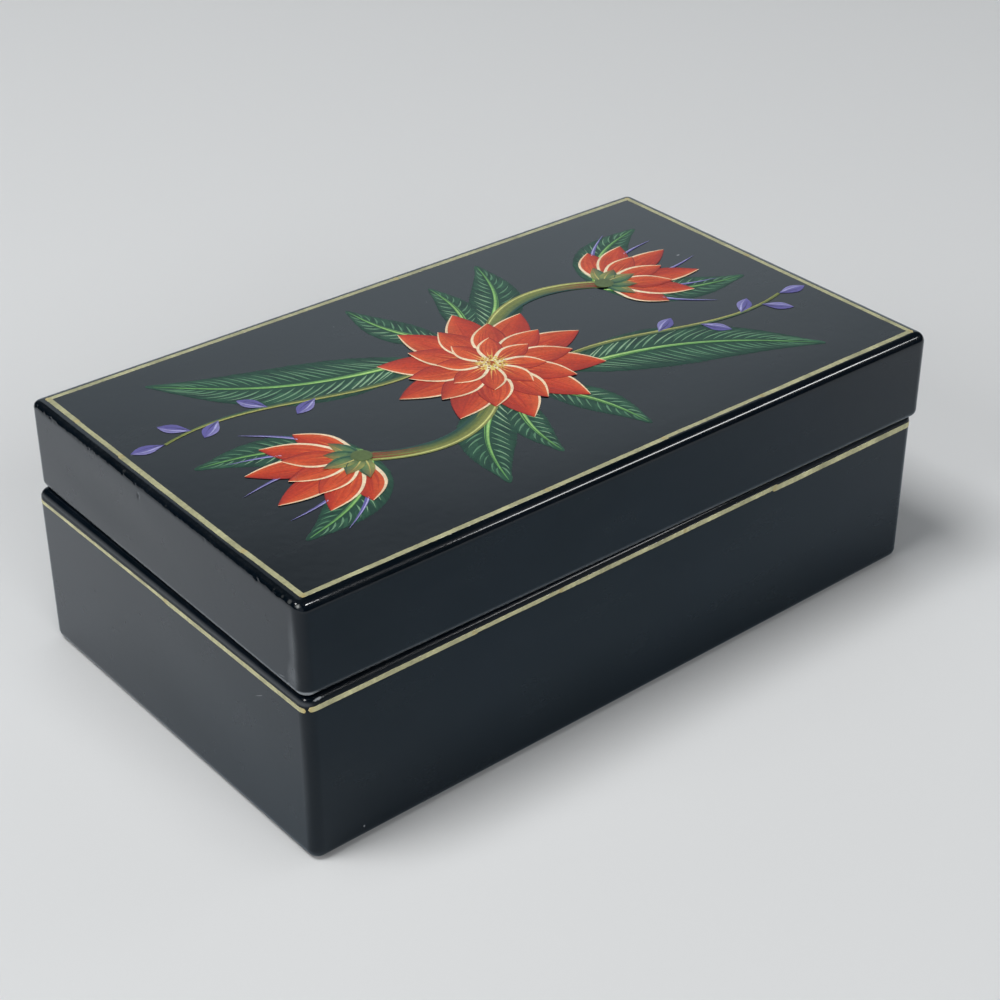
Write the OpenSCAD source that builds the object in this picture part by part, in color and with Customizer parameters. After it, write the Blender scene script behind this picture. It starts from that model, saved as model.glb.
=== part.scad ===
// Lacquer trinket box: a base of glued boards with an inner lip, and a lid that lifts straight off.
// Millimetres. The origin is the centre of the base's underside, +X runs to the right along
// the length, -Y faces the front and +Z is up.

/* [Box] */
// Length of the box, left to right
box_l = 170; // [150:1:200]
// Width of the box, front to back
box_w = 100; // [90:1:120]
// Height of the base, from the surface it stands on to its rim
base_h = 38.8; // [34:0.1:48]
// Height of the lid, from its lower edge to its top face
lid_h = 21.2; // [18:0.1:28]

/* [Boards] */
// Thickness of the panel that forms the top of the lid
top_panel_t = 5.5; // [4.5:0.1:7]
// Thickness of the panel that forms the floor of the base
floor_panel_t = 5; // [4:0.1:7]
// Thickness of the walls of the lid
lid_wall_t = 5.4; // [4.8:0.1:6.5]
// Depth of the rabbet at each end of a long wall, which takes the end of a side wall
rabbet_d = 2.8; // [2:0.1:4]

/* [Rounded edges] */
// Radius of the upright corners of the base and the lid
corner_r = 2.5; // [2.4:0.1:3.5]
// Radius along the top edges of the lid
top_edge_r = 2.3; // [1.2:0.1:2.3]
// Radius along the lower edges of the base
foot_edge_r = 2.2; // [1.2:0.1:2.3]
// Radius along the outer edges of the base and the lid where they meet
seam_edge_r = 1.8; // [0.8:0.1:2.2]

/* [Inner lip] */
// Thickness of the four strips that line the base and stand up as a lip
lip_t = 3; // [2:0.1:4]
// Height of the lip above the rim of the base
lip_rise = 6.5; // [4:0.1:9]
// Play between the lip and the inside of the lid, on each side
lip_play = 1.6; // [0.6:0.1:2]
// Radius along the two top edges of the lip
lip_edge_r = 1; // [0.4:0.1:1]

/* [Seat of the lid] */
// Clockwise turn of the lid, as a share of the turn that the play allows
lid_turn_share = 0.62; // [0:0.01:0.65]
// Shift of the lid to the right, as a share of the play
lid_right_share = 0.46; // [0:0.01:0.5]
// Shift of the lid to the front, as a share of the play
lid_front_share = 0.28; // [0:0.01:0.3]

/* [Lining] */
// Thickness of the felt on the floor
lining_t = 1.2; // [0.8:0.1:2]
// Gap between the edge of the felt and the lip
lining_gap = 0.3; // [0.2:0.1:1]

/* [Gold lines] */
// Width of the gold line round the top of the lid
lid_line_w = 1.35; // [0.8:0.05:2]
// Width of the gold line below the rim of the base
base_line_w = 1.15; // [0.8:0.05:2]
// Bare strip between a gold line and the rounded edge beside it
line_margin = 0.05; // [0.02:0.01:0.5]
// Gap between the ends of two strokes of the line on the base, at an upright corner
line_end_gap = 0.5; // [0.2:0.1:2]

/* [Painting] */
// Thickness of one coat of paint
paint_t = 0.06; // [0.04:0.01:0.1]
// Bare strip between the gold line and the painted spray
spray_margin = 3.3; // [2:0.1:12]

/* [Hidden] */
$fn = 48;

// Overrun of every cut and of every blank that a larger shape trims
cut_over = 1;

// The boards. A base wall is as thick as a lid wall and the play together, so the lip that
// stands against it clears the lid by the play.
half_l = box_l / 2;
half_w = box_w / 2;
base_wall_t = lid_wall_t + lip_play;
lip_half_l = half_l - base_wall_t;
lip_half_w = half_w - base_wall_t;
lip_h = base_h + lip_rise - floor_panel_t;

// The seat of the lid. At the largest turn the ends of the lip meet the walls of the lid.
lid_turn = -asin(lid_turn_share * lip_play / lip_half_l);
lid_shift = [lid_right_share * lip_play, -lid_front_share * lip_play];

// The gold lines
lid_line_inset = top_edge_r + line_margin;
base_line_low = base_h - seam_edge_r - line_margin - base_line_w;

// The painted spray. It keeps its own proportions inside the gold line and is as long as fits.
field_l = box_l - 2 * (lid_line_inset + lid_line_w + spray_margin);
field_w = box_w - 2 * (lid_line_inset + lid_line_w + spray_margin);
spray_width_share = 0.551;
spray_l = min(field_l, field_w / spray_width_share);

// Leaves of one half of the spray: where each starts, then its length and breadth, all as
// shares of the length of the spray, then its bow as a share of its own length
leaf_shares = [
    [-0.064, 0.074, 0.385, 0.115, 0.10],
    [-0.276, -0.077, 0.218, 0.077, -0.10],
    [-0.276, -0.096, 0.212, 0.077, 0.10],
    [-0.051, -0.077, 0.224, 0.080, -0.10],
    [-0.006, 0.090, 0.180, 0.061, 0.08],
    [0.032, 0.090, 0.160, 0.054, -0.08]
];
// Direction of each of these leaves, in degrees
leaf_turns = [153, 154, 212, 235, 108, 74];
// Where a leaf is broadest, as a power of the way along it
leaf_belly = 0.8;
// Points along one side of a leaf, and along one side of a petal
leaf_steps = 14;
petal_steps = 9;

// Breadth of the rib at the start of a leaf, as a share of the breadth of the leaf
rib_share = 0.09;
// Length of the rib as a share of the length of the leaf
rib_length_share = 0.94;

// Stems of one half of the spray: four control points each, as shares of the length of the spray
stem_shares = [
    [[-0.038, -0.051], [-0.128, -0.154], [-0.218, -0.141], [-0.288, -0.090]],
    [[-0.064, 0.051], [-0.218, 0.026], [-0.308, 0.141], [-0.468, 0.096]]
];
// Breadth of each stem at its start and at its end, as shares of the length of the spray
stem_breadth_shares = [[0.029, 0.022], [0.010, 0.005]];
stem_steps = 14;

// The open flower in the middle: petals in each ring, from the outer one to the inner one, and
// their lengths and breadths as shares of the length of the spray
ring_petals = [10, 10, 8];
ring_petal_shares = [[0.160, 0.0615], [0.122, 0.051], [0.077, 0.036]];
// Turn of each ring in degrees
ring_turns = [0, 18, 9];
petal_belly = 1.22;
heart_share = 0.023;

// The half-open flower of one half of the spray, seen from the side
side_flower_shares = [-0.288, -0.090];
side_flower_turn = 176;
// Turn of each of its petals from its middle, in degrees, and their lengths as shares
side_petal_turns = [-66, -42, -16, 16, 42, 66];
side_petal_shares = [0.109, 0.135, 0.154, 0.154, 0.135, 0.109];
side_petal_breadth_share = 0.047;
side_inner_turns = [-28, 0, 28];
side_inner_shares = [0.109, 0.040];
side_cup_share = 0.018;

// Violet tongues between the petals of the side flower, and buds along the thin stem
tongue_turns = [-53, -28, 0, 28, 53];
tongue_shares = [0.173, 0.010];
tongue_bow_share = 0.10;
bud_places = [0.45, 0.62, 0.8, 0.9, 1];
bud_turns = [205, 120, 215, 130, 172];
bud_shares = [0.048, 0.022];

// Waste outside a quarter circle whose square corner is at the origin
module corner_waste(r) {
    difference() {
        translate([-cut_over, -cut_over]) square(r + cut_over);
        translate([r, r]) circle(r);
    }
}

// Waste at both ends of an edge that is centred on the Y axis
module corner_waste_pair(w, r) {
    translate([-w / 2, 0]) corner_waste(r);
    mirror([1, 0]) translate([-w / 2, 0]) corner_waste(r);
}

// Rectangle that stands on the X axis, centred, with rounded lower and upper corners
module rounded_rectangle(w, h, low_r, high_r) {
    difference() {
        translate([-w / 2, 0]) square([w, h]);
        if (low_r > 0) corner_waste_pair(w, low_r);
        translate([0, h]) mirror([0, 1]) corner_waste_pair(w, high_r);
    }
}

// Upright section through a rounded corner, from the axis of the corner outwards
module corner_section(h, low_r, high_r) {
    intersection() {
        rounded_rectangle(2 * corner_r, h, low_r, high_r);
        translate([0, -cut_over]) square([corner_r + cut_over, h + 2 * cut_over]);
    }
}

// Block of the full plan size, its lower and upper edges rounded all the way round
module rounded_block(h, low_r, high_r) {
    translate([0, half_w - corner_r, 0]) rotate([90, 0, 0])
        linear_extrude(box_w - 2 * corner_r) rounded_rectangle(box_l, h, low_r, high_r);
    translate([corner_r - half_l, 0, 0]) rotate([90, 0, 90])
        linear_extrude(box_l - 2 * corner_r) rounded_rectangle(box_w, h, low_r, high_r);
    for (x = [-1, 1], y = [-1, 1])
        translate([x * (half_l - corner_r), y * (half_w - corner_r), 0])
            rotate_extrude() corner_section(h, low_r, high_r);
}

module base_block() {
    rounded_block(base_h, foot_edge_r, seam_edge_r);
}

module lid_block() {
    rounded_block(lid_h, seam_edge_r, top_edge_r);
}

// Slab across the whole plan between two heights, as a blank for a block to trim
module slab_blank(low, high) {
    translate([-half_l - cut_over, -half_w - cut_over, low])
        cube([box_l + 2 * cut_over, box_w + 2 * cut_over, high - low]);
}

// Front wall between two heights, with a rabbet behind each end, as a blank to trim
module long_wall_blank(wall_t, low, high) {
    difference() {
        translate([-half_l - cut_over, -half_w - cut_over, low])
            cube([box_l + 2 * cut_over, wall_t + cut_over, high - low]);
        end_rabbet(wall_t, low, high);
        mirror([1, 0, 0]) end_rabbet(wall_t, low, high);
    }
}

// Room for the end of the left wall, behind the left end of the front wall
module end_rabbet(wall_t, low, high) {
    translate([-half_l - 2 * cut_over, -half_w + wall_t - rabbet_d, low - cut_over])
        cube([wall_t + 2 * cut_over, rabbet_d + cut_over, high - low + 2 * cut_over]);
}

// Left wall between two heights, with its ends in the rabbets, as a blank to trim
module side_wall_blank(wall_t, low, high) {
    end_y = half_w - wall_t + rabbet_d;
    translate([-half_l - cut_over, -end_y, low])
        cube([wall_t + cut_over, 2 * end_y, high - low]);
}

module base_floor_panel() {
    color("#15181b") intersection() {
        base_block();
        slab_blank(-cut_over, floor_panel_t);
    }
}

module base_long_wall() {
    color("#15181b") intersection() {
        base_block();
        long_wall_blank(base_wall_t, floor_panel_t, base_h + cut_over);
    }
}

module base_side_wall() {
    color("#15181b") intersection() {
        base_block();
        side_wall_blank(base_wall_t, floor_panel_t, base_h + cut_over);
    }
}

module base_front_wall() {
    base_long_wall();
}

module base_back_wall() {
    mirror([0, 1, 0]) base_long_wall();
}

module base_left_wall() {
    base_side_wall();
}

module base_right_wall() {
    mirror([1, 0, 0]) base_side_wall();
}

// Strip with mitred ends that stands on the floor, its outer face at y = -face_y
module lip_strip(half_length, face_y) {
    inner_half = half_length - lip_t;
    color("#101214") intersection() {
        translate([-half_length - cut_over, lip_t / 2 - face_y, floor_panel_t])
            rotate([90, 0, 90]) linear_extrude(2 * (half_length + cut_over))
                rounded_rectangle(lip_t, lip_h, 0, lip_edge_r);
        translate([0, -face_y, floor_panel_t - cut_over])
            linear_extrude(lip_h + 2 * cut_over) polygon([
                [-half_length - cut_over, -cut_over],
                [half_length + cut_over, -cut_over],
                [inner_half - cut_over, lip_t + cut_over],
                [cut_over - inner_half, lip_t + cut_over]
            ]);
    }
}

module lip_front() {
    lip_strip(lip_half_l, lip_half_w);
}

module lip_back() {
    mirror([0, 1, 0]) lip_front();
}

module lip_left() {
    rotate([0, 0, -90]) lip_strip(lip_half_w, lip_half_l);
}

module lip_right() {
    mirror([1, 0, 0]) lip_left();
}

module floor_lining() {
    pad_l = 2 * (lip_half_l - lip_t - lining_gap);
    pad_w = 2 * (lip_half_w - lip_t - lining_gap);
    color("#5e1216") translate([-pad_l / 2, -pad_w / 2, floor_panel_t])
        cube([pad_l, pad_w, lining_t]);
}

// Outline of the base in plan, grown outwards all round
module grown_plan(grow) {
    translate([0, -half_w - grow])
        rounded_rectangle(box_l + 2 * grow, box_w + 2 * grow, corner_r + grow, corner_r + grow);
}

// Four strokes round the base that leave a gap at each upright corner
module base_gold_line() {
    color("#c2b062") translate([0, 0, base_line_low]) linear_extrude(base_line_w) difference() {
        grown_plan(paint_t);
        grown_plan(0);
        for (x = [-1, 1], y = [-1, 1])
            translate([x * (half_l - corner_r), y * (half_w - corner_r)]) rotate(atan2(y, x))
                translate([0, -line_end_gap / 2])
                    square([corner_r + paint_t + cut_over, line_end_gap]);
    }
}

// Puts a piece of the lid, drawn square on the origin, where the lid sits on the base
module on_base() {
    translate([lid_shift[0], lid_shift[1], base_h]) rotate([0, 0, lid_turn]) children();
}

module lid_top_panel() {
    color("#15181b") on_base() intersection() {
        lid_block();
        slab_blank(lid_h - top_panel_t, lid_h + cut_over);
    }
}

module lid_long_wall() {
    color("#15181b") intersection() {
        lid_block();
        long_wall_blank(lid_wall_t, -cut_over, lid_h - top_panel_t);
    }
}

module lid_side_wall() {
    color("#15181b") intersection() {
        lid_block();
        side_wall_blank(lid_wall_t, -cut_over, lid_h - top_panel_t);
    }
}

module lid_front_wall() {
    on_base() lid_long_wall();
}

module lid_back_wall() {
    on_base() mirror([0, 1, 0]) lid_long_wall();
}

module lid_left_wall() {
    on_base() lid_side_wall();
}

module lid_right_wall() {
    on_base() mirror([1, 0, 0]) lid_side_wall();
}

module lid_gold_line() {
    outer = [box_l - 2 * lid_line_inset, box_w - 2 * lid_line_inset];
    inner = [outer[0] - 2 * lid_line_w, outer[1] - 2 * lid_line_w];
    color("#c2b062") on_base() translate([0, 0, lid_h]) linear_extrude(paint_t) difference() {
        square(outer, center = true);
        square(inner, center = true);
    }
}

// One coat of paint on the lid. Coats lie on each other, the first on the bare panel.
module coat(number) {
    on_base() translate([0, 0, lid_h + number * paint_t]) linear_extrude(paint_t) children();
}

// The half of the spray that its tables give, and the same half turned about the middle
module both_halves() {
    children();
    rotate(180) children();
}

// A blade is a leaf or a petal. Its middle line runs from the origin along X and bows to one
// side, by a share of its length, and t is the share of the way along it.
function blade_middle(length, bow, t) = [length * t, length * bow * sin(180 * t)];
function blade_slope(bow, t) = atan(bow * PI * cos(180 * t));
function blade_half(breadth, belly, t) = breadth / 2 * sin(180 * pow(t, belly));
function blade_edge(length, breadth, bow, belly, t, side) =
    blade_middle(length, bow, t)
    + side * blade_half(breadth, belly, t) * [-sin(blade_slope(bow, t)), cos(blade_slope(bow, t))];

module blade(length, breadth, bow, belly, steps) {
    polygon(concat(
        [for (i = [0 : steps]) blade_edge(length, breadth, bow, belly, i / steps, 1)],
        [for (i = [steps - 1 : -1 : 1]) blade_edge(length, breadth, bow, belly, i / steps, -1)]
    ));
}

// Point on a curve with four control points, and the direction of the curve there
function curve_point(p, t) = pow(1 - t, 3) * p[0] + 3 * t * pow(1 - t, 2) * p[1]
    + 3 * t * t * (1 - t) * p[2] + pow(t, 3) * p[3];
function curve_run(p, t) = pow(1 - t, 2) * (p[1] - p[0]) + 2 * t * (1 - t) * (p[2] - p[1])
    + t * t * (p[3] - p[2]);
function curve_side(p, t) = [-curve_run(p, t)[1], curve_run(p, t)[0]] / norm(curve_run(p, t));
function ribbon_edge(p, ends, t, side) =
    curve_point(p, t) + side * (ends[0] + (ends[1] - ends[0]) * t) / 2 * curve_side(p, t);

module ribbon(p, ends) {
    polygon(concat(
        [for (i = [0 : stem_steps]) ribbon_edge(p, ends, i / stem_steps, 1)],
        [for (i = [stem_steps : -1 : 0]) ribbon_edge(p, ends, i / stem_steps, -1)]
    ));
}

// Places its children at the start of a leaf, along the leaf
module at_leaf(i) {
    translate(spray_l * [leaf_shares[i][0], leaf_shares[i][1]]) rotate(leaf_turns[i]) children();
}

// Places its children at the side flower, along its middle
module at_side_flower() {
    translate(spray_l * side_flower_shares) rotate(side_flower_turn) children();
}

module painted_leaves() {
    color("#2c5f47") coat(0) both_halves()
        for (i = [0 : len(leaf_shares) - 1])
            at_leaf(i)
                blade(spray_l * leaf_shares[i][2], spray_l * leaf_shares[i][3],
                    leaf_shares[i][4], leaf_belly, leaf_steps);
}

// Narrow tapering stroke along the middle line of a blade
module rib(length, breadth, bow) {
    steps = leaf_steps;
    polygon(concat(
        [for (i = [0 : steps]) rib_edge(length, breadth, bow, i / steps, 1)],
        [for (i = [steps - 1 : -1 : 0]) rib_edge(length, breadth, bow, i / steps, -1)]
    ));
}
function rib_edge(length, breadth, bow, s, side) =
    blade_middle(length, bow, rib_length_share * s)
    + side * breadth / 2 * (1 - s) * [
        -sin(blade_slope(bow, rib_length_share * s)),
        cos(blade_slope(bow, rib_length_share * s))
    ];

module painted_leaf_ribs() {
    color("#8fc06a") coat(1) both_halves()
        for (i = [0 : len(leaf_shares) - 1])
            at_leaf(i)
                rib(spray_l * leaf_shares[i][2], rib_share * spray_l * leaf_shares[i][3],
                    leaf_shares[i][4]);
}

module painted_stems() {
    color("#6f7a3a") coat(2) both_halves() {
        for (i = [0 : len(stem_shares) - 1])
            ribbon(spray_l * stem_shares[i], spray_l * stem_breadth_shares[i]);
        at_side_flower() circle(spray_l * side_cup_share);
    }
}

module painted_violet_sprigs() {
    color("#6b6fae") coat(3) both_halves() {
        at_side_flower() for (turn = tongue_turns)
            rotate(turn) blade(spray_l * tongue_shares[0], spray_l * tongue_shares[1],
                tongue_bow_share, petal_belly, petal_steps);
        for (i = [0 : len(bud_places) - 1])
            translate(curve_point(spray_l * stem_shares[1], bud_places[i])) rotate(bud_turns[i])
                blade(spray_l * bud_shares[0], spray_l * bud_shares[1], 0, petal_belly,
                    petal_steps);
    }
}

// One ring of petals of the open flower
module petal_ring(ring) {
    for (i = [1 : ring_petals[ring]])
        rotate(ring_turns[ring] + 360 * i / ring_petals[ring])
            blade(spray_l * ring_petal_shares[ring][0], spray_l * ring_petal_shares[ring][1], 0,
                petal_belly, petal_steps);
}

module painted_petals() {
    color("#d8502f") coat(4) {
        petal_ring(0);
        both_halves() at_side_flower() for (i = [0 : len(side_petal_turns) - 1])
            rotate(side_petal_turns[i])
                blade(spray_l * side_petal_shares[i], spray_l * side_petal_breadth_share, 0,
                    petal_belly, petal_steps);
    }
}

module painted_inner_petals() {
    color("#e9784a") coat(5) {
        petal_ring(1);
        petal_ring(2);
        both_halves() at_side_flower() for (turn = side_inner_turns)
            rotate(turn) blade(spray_l * side_inner_shares[0], spray_l * side_inner_shares[1], 0,
                petal_belly, petal_steps);
    }
}

module painted_flower_hearts() {
    color("#efe0a0") coat(6) circle(spray_l * heart_share);
}

base_floor_panel();
base_front_wall();
base_back_wall();
base_left_wall();
base_right_wall();
lip_front();
lip_back();
lip_left();
lip_right();
floor_lining();
base_gold_line();
lid_top_panel();
lid_front_wall();
lid_back_wall();
lid_left_wall();
lid_right_wall();
lid_gold_line();
painted_leaves();
painted_leaf_ribs();
painted_stems();
painted_violet_sprigs();
painted_petals();
painted_inner_petals();
painted_flower_hearts();
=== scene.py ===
"""Looks of the lacquer trinket box: black lacquered boards, brushed gold lines, a painted floral
spray on the lid and a felt lining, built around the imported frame. Lengths in the tables and
helpers are millimetres, and MM turns them into metres."""

import bisect
import math
import random

import bmesh
import bpy
from mathutils import Matrix, Vector, noise


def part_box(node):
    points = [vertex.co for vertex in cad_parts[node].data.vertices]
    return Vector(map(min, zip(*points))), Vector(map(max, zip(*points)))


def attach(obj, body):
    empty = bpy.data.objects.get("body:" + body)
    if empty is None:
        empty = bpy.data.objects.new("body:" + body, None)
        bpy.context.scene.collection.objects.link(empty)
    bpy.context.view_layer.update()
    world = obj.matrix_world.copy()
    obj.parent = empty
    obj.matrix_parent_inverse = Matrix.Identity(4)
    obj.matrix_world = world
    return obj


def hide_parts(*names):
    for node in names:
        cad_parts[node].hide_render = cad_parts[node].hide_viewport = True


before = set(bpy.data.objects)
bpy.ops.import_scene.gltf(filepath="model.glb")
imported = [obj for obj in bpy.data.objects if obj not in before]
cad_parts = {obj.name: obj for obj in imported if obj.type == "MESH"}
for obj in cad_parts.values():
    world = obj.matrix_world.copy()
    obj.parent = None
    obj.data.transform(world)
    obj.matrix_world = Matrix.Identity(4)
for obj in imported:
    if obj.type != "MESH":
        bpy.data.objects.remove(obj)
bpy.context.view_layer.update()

MM = 0.001

# Places that the frame gives


def node_box(node):
    """Lowest and highest corner of a CAD node in millimetres."""
    low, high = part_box(node)
    return low / MM, high / MM


def lid_seat():
    """Matrix from lid coordinates to the frame, and the outer half sizes of the gold frame.
    In lid coordinates the origin is the middle of the lid's top face and X runs along it."""
    points = [v.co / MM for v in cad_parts["lid_gold_line"].data.vertices]
    left_front = min(points, key=lambda p: p.x)
    right_front = min(points, key=lambda p: p.y)
    right_back = max(points, key=lambda p: p.x)
    left_back = max(points, key=lambda p: p.y)
    centre = (left_front + right_front + right_back + left_back) / 4
    along = right_front - left_front
    turn = math.atan2(along.y, along.x)
    top = node_box("lid_top_panel")[1].z
    matrix = Matrix.Translation((centre.x, centre.y, top)) @ Matrix.Rotation(turn, 4, "Z")
    return matrix, along.xy.length / 2, (left_back - left_front).xy.length / 2


# Sizes that the part's source names
CORNER_R = 2.5
TOP_EDGE_R = 2.3
LID_LINE_INSET = 2.35
LID_LINE_W = 1.35
SPRAY_MARGIN = 3.3
COAT = 0.06

LID, GOLD_HALF_L, GOLD_HALF_W = lid_seat()
LID_HALF_L = GOLD_HALF_L + LID_LINE_INSET
LID_HALF_W = GOLD_HALF_W + LID_LINE_INSET
BASE_HALF_L = -node_box("base_left_wall")[0].x
BASE_HALF_W = -node_box("base_front_wall")[0].y
PANEL_T = node_box("lid_top_panel")[1].z - node_box("lid_top_panel")[0].z
SPRAY_L = 2 * (GOLD_HALF_L - LID_LINE_W - SPRAY_MARGIN)

# Colours, as sRGB values from 0 to 255
LACQUER = (2, 9, 16)
LACQUER_LIGHT = (4, 12, 21)
DUST = (150, 154, 158)
# The primer is pale also so that the chip at the front corner reads as a painted glint
PRIMER = (150, 152, 150)
LID_GOLD = (177, 175, 136)
# The base's gold is a lighter copy of the lid's: painted light on the base's upright sides
LIT_BASE_GOLD = (194, 190, 147)
POOLED_GOLD = (196, 166, 96)
LEAF = (34, 78, 58)
LEAF_DARK = (22, 56, 46)
LEAF_MID = (58, 108, 78)
VEIN = (196, 222, 182)
RIB = (130, 190, 96)
RIB_LIGHT = (204, 234, 148)
OLIVE = (112, 122, 60)
OLIVE_LIGHT = (152, 152, 84)
STEM_DARK = (36, 74, 66)
STEM_LIGHT = (206, 208, 130)
MAROON = (140, 56, 44)
RED = (200, 62, 28)
CORAL = (232, 116, 58)
RED_DARK = (150, 32, 30)
CREAM = (250, 240, 208)
YELLOW = (244, 236, 140)
OCHRE = (212, 156, 56)
VIOLET = (98, 92, 160)
VIOLET_LIGHT = (176, 174, 220)
FELT_DARK = (74, 14, 18)
FELT_LIGHT = (136, 34, 38)


def linear(rgb):
    """Linear colour with alpha from an sRGB colour on a scale of 255."""
    shares = [c / 255 for c in rgb]
    return (*(c / 12.92 if c <= 0.04045 else ((c + 0.055) / 1.055) ** 2.4 for c in shares), 1.0)


def mix(a, b, t):
    """Colour a share t of the way from a to b."""
    return tuple(a[i] + (b[i] - a[i]) * t for i in range(3))


def new_object(name, data):
    """New object in the scene."""
    obj = bpy.data.objects.new(name, data)
    bpy.context.scene.collection.objects.link(obj)
    return obj


# Node trees


class Nodes:
    """Builds the node tree of a world, or of a material around its Principled shader."""

    def __init__(self, owner):
        self.owner = owner
        owner.use_nodes = True
        self.tree = owner.node_tree
        self.shader = self.tree.nodes.get("Principled BSDF")

    def feed(self, node, inputs):
        """Links outputs to a node's inputs, or sets values there."""
        for key, value in inputs.items():
            if isinstance(value, bpy.types.NodeSocket):
                self.tree.links.new(value, node.inputs[key])
            else:
                node.inputs[key].default_value = value

    def add(self, kind, inputs, **values):
        """New node with its properties set and its inputs fed."""
        node = self.tree.nodes.new(kind)
        for key, value in values.items():
            setattr(node, key, value)
        self.feed(node, inputs)
        return node

    def coords(self, stretch=(1, 1, 1), turn=(0, 0, 0)):
        """Object coordinates, turned and stretched."""
        place = self.add("ShaderNodeTexCoord", {}).outputs["Object"]
        inputs = {"Vector": place, "Scale": stretch, "Rotation": turn}
        return self.add("ShaderNodeMapping", inputs).outputs["Vector"]

    def noise(self, scale, detail=3, roughness=0.5, stretch=(1, 1, 1), turn=(0, 0, 0)):
        """Noise between 0 and 1."""
        inputs = {"Vector": self.coords(stretch, turn), "Scale": scale, "Detail": detail,
                  "Roughness": roughness}
        return self.add("ShaderNodeTexNoise", inputs).outputs["Fac"]

    def ramp(self, value, low, high, at):
        """Ramp between two colours or two grey levels."""
        node = self.add("ShaderNodeValToRGB", {0: value})
        for element, colour, place in zip(node.color_ramp.elements, (low, high), at):
            element.position = place
            element.color = colour if isinstance(colour, tuple) else (colour,) * 3 + (1,)
        return node.outputs[0]

    def ease(self, value, edges, levels=(0, 1), kind="SMOOTHSTEP"):
        """Smooth change between two levels while a value runs between two edges."""
        inputs = {"Value": value, "From Min": edges[0], "From Max": edges[1],
                  "To Min": levels[0], "To Max": levels[1]}
        return self.add("ShaderNodeMapRange", inputs, interpolation_type=kind).outputs["Result"]

    def mix(self, factor, a, b, mode="MIX"):
        """Mix of two colours or outputs, by a share or an output."""
        inputs = {0: factor, 6: a, 7: b}
        return self.add("ShaderNodeMix", inputs, data_type="RGBA", blend_type=mode).outputs[2]

    def bump(self, height, distance, strength=1.0, after=None):
        """Normal of a height in shares of a distance in metres, on top of another normal."""
        inputs = {"Height": height, "Distance": distance, "Strength": strength}
        if after is not None:
            inputs["Normal"] = after
        return self.add("ShaderNodeBump", inputs).outputs["Normal"]

    def vector(self, operation, value, constant=(0, 0, 0)):
        """Vector maths with an output and a constant."""
        inputs = {0: value, 1: constant}
        return self.add("ShaderNodeVectorMath", inputs, operation=operation).outputs

    def reach(self, place, radii, tilt=0.0):
        """Distance from a place in shares of the radii, tilted about X. Millimetres."""
        offset = self.vector("SUBTRACT", self.coords(), Vector(place) * MM)[0]
        inputs = {"Vector": offset, "Angle": tilt}
        tilted = self.add("ShaderNodeVectorRotate", inputs, rotation_type="X_AXIS").outputs[0]
        shape = self.vector("MULTIPLY", tilted, [1 / (r * MM) for r in radii])[0]
        return self.vector("LENGTH", shape)["Value"]

    def mark(self, place, radii, tilt):
        """Ragged spot round a place: 1 inside its radii and 0 outside."""
        warp = self.ramp(self.noise(2500, detail=2), 0.7, 1.3, (0.3, 0.7))
        inputs = {0: self.reach(place, radii, tilt), 1: warp}
        ragged = self.add("ShaderNodeMath", inputs, operation="MULTIPLY").outputs[0]
        return self.ramp(ragged, 1.0, 0.0, (0.6, 1.0))

    def fade(self, place, radii, start, end):
        """Smooth change from start at a place to end outside its radii."""
        return self.ease(self.reach(place, radii), (0, 1), (start, end), "SMOOTHERSTEP")

    def dust(self, cells, radius):
        """Sparse round specks: 1 within a radius, in millimetres, of scattered points."""
        node = self.add("ShaderNodeTexVoronoi", {"Vector": self.coords(), "Scale": cells})
        reach = radius * MM * cells
        return self.ramp(node.outputs["Distance"], 1.0, 0.0, (reach * 0.6, reach))


# Camera, floor and light

CAMERA_AT = (-254.5, -309.2, 274.5)
CAMERA_AIM = (-2.65, -7.27, 30.0)
CAMERA_ROLL = math.radians(-0.072)
CAMERA_LENS = 75.38
FLOOR_HALF = 6.0  # in metres
FRONT_CORNER = (-84.0, -50.0, 55.0)
# Lamps: name, direction, distance and size in metres, radiance, target. The soft ones light the
# paint and the floor, and only the gloss sees the windows: one draws the light line along the
# front arris, and two glint at the front corner.
SOFT_LAMPS = [
    ("key_soft", (-0.38, 0.10, 0.92), 2.0, (0.70, 0.70), 15.6),
    ("fill_left", (-0.85, 0.05, 0.52), 3.0, (1.8, 1.2), 3.5),
    ("fill_right", (0.85, -0.10, 0.52), 3.0, (1.8, 1.2), 0.8),
    ("fill_front", (-0.10, -0.84, 0.52), 3.0, (1.8, 1.2), 4.5),
]
WINDOWS = [
    ("window_front", (0.58, -0.49, 0.63), 1.4, (0.49, 0.12), 17.0),
    ("window_left", (-0.50, 0.17, 0.84), 1.4, (0.36, 0.30), 26.0, FRONT_CORNER),
    ("window_right", (0.395, -0.50, 0.77), 1.4, (0.12, 0.11), 45.0, FRONT_CORNER),
]
ROOM_GLOW = (0.02, 0.023, 0.026, 1)
# Soft glows of the room: direction, colour, cosines of the angles at which it starts and is full
WALLS = [
    ((0.57, 0.82, 0.03), (0.545, 0.625, 0.685, 1), (0.80, 0.905)),
    ((-0.60, -0.72, 0.36), (0.26, 0.29, 0.32, 1), (0.84, 0.95)),
]


def make_camera():
    """Camera at the photo's place, as fitted to the edges of the box."""
    data = bpy.data.cameras.new("camera")
    data.lens = CAMERA_LENS
    data.sensor_width = 36.0
    data.clip_start = 0.01
    camera = new_object("camera", data)
    at = Vector(CAMERA_AT) * MM
    aim = Vector(CAMERA_AIM) * MM
    turn = (aim - at).to_track_quat("-Z", "Y").to_matrix().to_4x4()
    camera.matrix_world = Matrix.Translation(at) @ turn @ Matrix.Rotation(CAMERA_ROLL, 4, "Z")
    bpy.context.scene.camera = camera


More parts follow.
